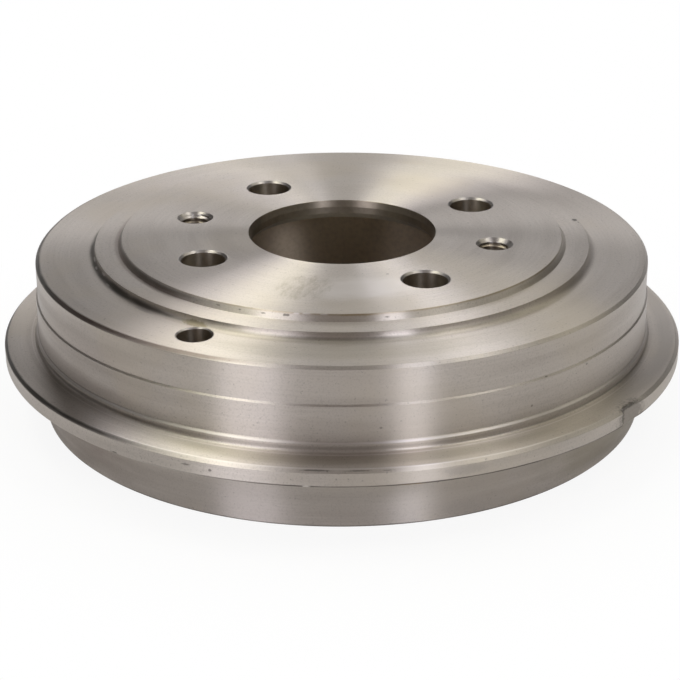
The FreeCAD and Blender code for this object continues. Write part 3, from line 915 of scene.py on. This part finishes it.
def weathering_and_painted_light(tree, turned, finish, shade):
    """Colour on the drum's outside: painted shade and highlights at corners and edges, oil and rust."""
    gaps = ring_marks(tree, turned, finish.ring_gap_size, 7.0)
    patches = add_node(
        tree, "MapRange", {"From Min": 0.3, "From Max": 0.6, "To Min": 0.7, "To Max": 1.0}, {"Value": gaps}
    )
    for across, up, reach, degrees, spread, coat, depth in DEPOSITS_AND_PAINTED_LIGHT:
        ring = (across * MM, up * MM, 0)
        gap = add_node(tree, "VectorMath", {"operation": "DISTANCE", 1: ring}, {0: turned.section}, "Value")
        near = add_node(
            tree,
            "MapRange",
            {"interpolation_type": "SMOOTHSTEP", "From Max": reach * MM, "To Min": 1.0, "To Max": 0.0},
            {"Value": gap},
        )
        if spread < 180:
            turn = math.radians(degrees)
            toward = (math.cos(turn), math.sin(turn), 0)
            facing = add_node(
                tree, "VectorMath", {"operation": "DOT_PRODUCT", 1: toward}, {0: turned.direction}, "Value"
            )
            sector = add_node(
                tree,
                "MapRange",
                {"interpolation_type": "SMOOTHSTEP", "From Min": math.cos(math.radians(spread))},
                {"Value": facing},
            )
            near = add_node(tree, "Math", {"operation": "MULTIPLY"}, {0: near, 1: sector})
        near = add_node(tree, "Math", {"operation": "MULTIPLY"}, {0: near, 1: patches})
        shade = stained(tree, shade, getattr(finish, coat), near, 0.2, 0.8, depth)

    frayed = add_node(tree, "TexNoise", {"Scale": 1 / finish.fray_size}, {"Vector": turned.place})
    for *spot, coat, depth in MARKS_AND_PAINTED_LIGHT:
        where = add_node(tree, "Mapping", spot_frame(*spot), {"Vector": turned.place})
        distance = add_node(tree, "VectorMath", {"operation": "LENGTH"}, {0: where}, "Value")
        ragged = add_node(tree, "Math", {"operation": "ADD"}, {0: distance, 1: frayed})
        shade = stained(tree, shade, getattr(finish, coat), ragged, 1.7, 1.1, depth)

    where = add_node(tree, "Mapping", spot_frame(*SMEAR), {"Vector": turned.place})
    distance = add_node(tree, "VectorMath", {"operation": "LENGTH"}, {0: where}, "Value")
    wiped = add_node(
        tree,
        "MapRange",
        {"interpolation_type": "SMOOTHSTEP", "From Min": 1.1, "From Max": 0.4},
        {"Value": distance},
    )
    where = add_node(tree, "Mapping", spot_frame(*SMEAR[:3], *STROKE), {"Vector": turned.place})
    strokes = add_node(tree, "TexNoise", {"Scale": 1.0, "Detail": 5.0, "Roughness": 0.7}, {"Vector": where})
    smeared = add_node(tree, "Math", {"operation": "MULTIPLY"}, {0: wiped, 1: strokes})
    return stained(tree, shade, finish.film, smeared, 0.36, 0.7, 0.45)


def matte_board(stage):
    """Matte white board, which gives back light evenly.

    To the camera and in mirrors it turns plain white further out, and keeps its shadow beside
    the drum. Inside the drum it stays a board.
    """
    material = bpy.data.materials.new("matte_white_board")
    tree = cleared_tree(material)
    board = add_node(tree, "BsdfDiffuse", {"Color": colour(stage.floor)})
    white = add_node(tree, "Emission", {"Strength": 1.0})
    camera, glossy, transmission = (
        add_node(tree, "LightPath", output=f"Is {ray} Ray") for ray in ("Camera", "Glossy", "Transmission")
    )
    seen = add_node(tree, "Math", {"operation": "MAXIMUM"}, {0: camera, 1: glossy})
    seen = add_node(tree, "Math", {"operation": "MAXIMUM"}, {0: seen, 1: transmission})
    place = add_node(tree, "TexCoord", output="Object")
    reach = add_node(tree, "VectorMath", {"operation": "LENGTH"}, {0: place}, "Value")
    open_floor = add_node(tree, "Math", {"operation": "GREATER_THAN", 1: stage.board_to}, {0: reach})
    start = add_node(
        tree,
        "Math",
        {"operation": "MULTIPLY_ADD", 1: stage.glow_start - stage.mirror_start, 2: stage.mirror_start},
        {0: camera},
    )
    rising = add_node(
        tree,
        "MapRange",
        {"interpolation_type": "SMOOTHSTEP", "From Min": stage.glow_from, "From Max": stage.glow_to},
        {"Value": reach, "To Min": start},
    )
    glow = add_node(tree, "Math", {"operation": "MULTIPLY"}, {0: open_floor, 1: rising})
    glow = add_node(tree, "Math", {"operation": "MULTIPLY"}, {0: seen, 1: glow})
    shown = add_node(tree, "MixShader", None, {0: glow, 1: board, 2: white})
    add_node(tree, "OutputMaterial", None, {"Surface": shown})
    return material


def link_object(name, data):
    """Put a mesh, a camera or a lamp into the scene."""
    thing = bpy.data.objects.new(name, data)
    bpy.context.scene.collection.objects.link(thing)
    return thing


class DRUM_OT_casting(bpy.types.Operator):
    """Build the drum's skin and its finishes in place of the plain casting"""

    bl_idname = "drum.casting"
    bl_label = "Build the casting"

    def execute(self, context):
        scene = context.scene
        mesh = build_drum_skin(scene.drum_outside, scene.drum_inside, scene.drum_holes)
        finish = scene.drum_finish
        mesh.materials.append(turned_iron(finish))
        drilled = (finish.drilled_roughness, finish.drilled_anisotropy, False)
        for name, base, *marks in (
            # Fine bored iron: one even, slightly brown sheen with long streaks.
            ("bored_grey_iron", finish.bored_iron, finish.roughness, finish.anisotropy, True),
            # Drilled iron: darker, as painted shade in the holes and the bore, with shorter streaks down the
            # wall.
            ("shaded_drilled_grey_iron", finish.drilled_iron_shade, *drilled),
            # Cut edge: the same streaks on a paler edge, a painted highlight round the holes' mouths.
            ("highlight_cut_iron_edge", finish.cut_edge_highlight, *drilled),
        ):
            mesh.materials.append(bored_iron(name, finish, base, *marks))
        casting = link_object("drum_casting", mesh)
        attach(casting, "root")
        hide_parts("brake_drum")
        return {"FINISHED"}


def place_camera(stage):
    """Set the camera where the picture was taken from.

    It stands on a circle round the drum's foot and looks at the axis, then turns by the yaw, the
    extra tilt and the roll.
    """
    tilt = stage.camera_elevation
    seat = Vector((0, -math.cos(tilt), math.sin(tilt))) * stage.camera_distance
    view_tilt = tilt + stage.aim_pitch
    forward = Vector((
        math.sin(stage.aim_yaw) * math.cos(view_tilt),
        math.cos(stage.aim_yaw) * math.cos(view_tilt),
        -math.sin(view_tilt),
    ))
    right = Vector((math.cos(stage.aim_yaw), -math.sin(stage.aim_yaw), 0))
    up = right.cross(forward)
    roll = stage.camera_roll
    side = right * math.cos(roll) + up * math.sin(roll)
    crown = up * math.cos(roll) - right * math.sin(roll)
    pose = Matrix((side, crown, -forward)).transposed().to_4x4()
    pose.translation = seat
    data = bpy.data.cameras.new("camera")
    data.lens = stage.focal_length
    data.shift_x = stage.frame_shift
    camera = link_object("camera", data)
    camera.matrix_world = Matrix.Rotation(stage.camera_azimuth, 4, "Z") @ pose
    bpy.context.scene.camera = camera


# A name, a turn and a rise in degrees, a width and a height in metres, a power in watts and a tint.
SOFTBOXES = (
    ("left_high", 182, 65, 0.88, 0.28, 4.0, "#fdffee"),
    ("left_back", 134, 56, 0.35, 0.34, 1.32, "#f5f5ff"),
    ("left_front", -122, 22, 0.40, 1.10, 2.95, "#f2f2ff"),
    ("right_front", -65, 30, 0.20, 0.45, 2.15, "#f0f3ff"),
    ("right_high", -10, 62, 0.46, 0.35, 2.15, "#fffff8"),
    ("back_right", 66, 53, 0.10, 0.25, 0.45, "#e6eaff"),
    ("overhead", 76, 69, 0.62, 0.60, 1.36, "#fbfffc"),
    ("back_low", 88, 31, 0.85, 0.40, 1.40, "#fcfdff"),
    ("right_side", 25, 45, 0.80, 0.50, 1.25, "#fffdeb"),
    ("front_fill", -92, 48, 0.60, 0.60, 0.48, "#fff2ee"),
)


def add_softbox(distance, name, turn, rise, width, height, power, tint):
    """Hang a soft lamp at a distance so that it faces the drum."""
    turn, rise = math.radians(turn), math.radians(rise)
    toward = Vector((math.cos(rise) * math.cos(turn), math.cos(rise) * math.sin(turn), math.sin(rise)))
    data = bpy.data.lights.new(name, "AREA")
    data.shape = "RECTANGLE"
    data.size, data.size_y = width, height
    data.energy = power
    data.color = linear(tint)
    lamp = link_object(name, data)
    lamp.rotation_mode = "QUATERNION"
    lamp.rotation_quaternion = toward.to_track_quat("Z", "Y")
    lamp.location = toward * distance + Vector((0, 0, DRUM_HIGH.z / 2))


class DRUM_OT_studio(bpy.types.Operator):
    """Build the floor, the even light, the lamps and the camera"""

    bl_idname = "drum.studio"
    bl_label = "Build the studio"

    def execute(self, context):
        stage = context.scene.drum_stage
        spots = np.array([(-1, -1, 0), (1, -1, 0), (1, 1, 0), (-1, 1, 0)]) * stage.floor_reach
        board = bpy.data.meshes.new("floor")
        board.from_pydata(spots.tolist(), [], [(0, 1, 2, 3)])
        board.materials.append(matte_board(stage))
        link_object("floor", board)

        world = bpy.data.worlds.new("even_light")
        tree = cleared_tree(world)
        # Behind the table the camera sees white, from any side and height.
        strength = add_node(
            tree,
            "Math",
            {"operation": "MULTIPLY_ADD", 1: 1 - stage.sky_strength, 2: stage.sky_strength},
            {0: add_node(tree, "LightPath", output="Is Camera Ray")},
        )
        sky = add_node(tree, "Background", {"Color": colour(stage.sky)}, {"Strength": strength})
        add_node(tree, "OutputWorld", None, {"Surface": sky})
        context.scene.world = world
        for softbox in SOFTBOXES:
            add_softbox(stage.lamp_distance, *softbox)
        place_camera(stage)
        context.scene.view_settings.view_transform = "Standard"
        return {"FINISHED"}


class DRUM_PT_panel(bpy.types.Panel):
    """Sizes, colours and steps of the drum"""

    bl_idname = "DRUM_PT_panel"
    bl_label = "Brake drum"
    bl_space_type = "VIEW_3D"
    bl_region_type = "UI"
    bl_category = "Drum"

    def draw(self, context):
        for title, name, _ in SETTINGS:
            group = getattr(context.scene, name)
            box = self.layout.box()
            box.label(text=title)
            for key in group.__annotations__:
                box.prop(group, key)
        for step in STEPS:
            self.layout.operator(step.bl_idname)


# A heading of the panel, the scene's property and its group.
SETTINGS = (
    ("Outside", "drum_outside", OutsideSizes),
    ("Inside", "drum_inside", InsideSizes),
    ("Holes", "drum_holes", HoleSizes),
    ("Finish", "drum_finish", FinishSettings),
    ("Stage", "drum_stage", StageSettings),
)
STEPS = (DRUM_OT_casting, DRUM_OT_studio)


def register():
    """Make the settings, the steps and the panel known to Blender."""
    for _, name, group in SETTINGS:
        bpy.utils.register_class(group)
        setattr(bpy.types.Scene, name, bpy.props.PointerProperty(type=group))
    for entry in (*STEPS, DRUM_PT_panel):
        bpy.utils.register_class(entry)


def unregister():
    """Take back what register made known, last things first."""
    for entry in (DRUM_PT_panel, *reversed(STEPS)):
        bpy.utils.unregister_class(entry)
    for _, name, group in reversed(SETTINGS):
        delattr(bpy.types.Scene, name)
        bpy.utils.unregister_class(group)


def main():
    """Build everything in order."""
    register()
    bpy.ops.drum.casting()
    bpy.ops.drum.studio()


if __name__ == "__main__":
    main()
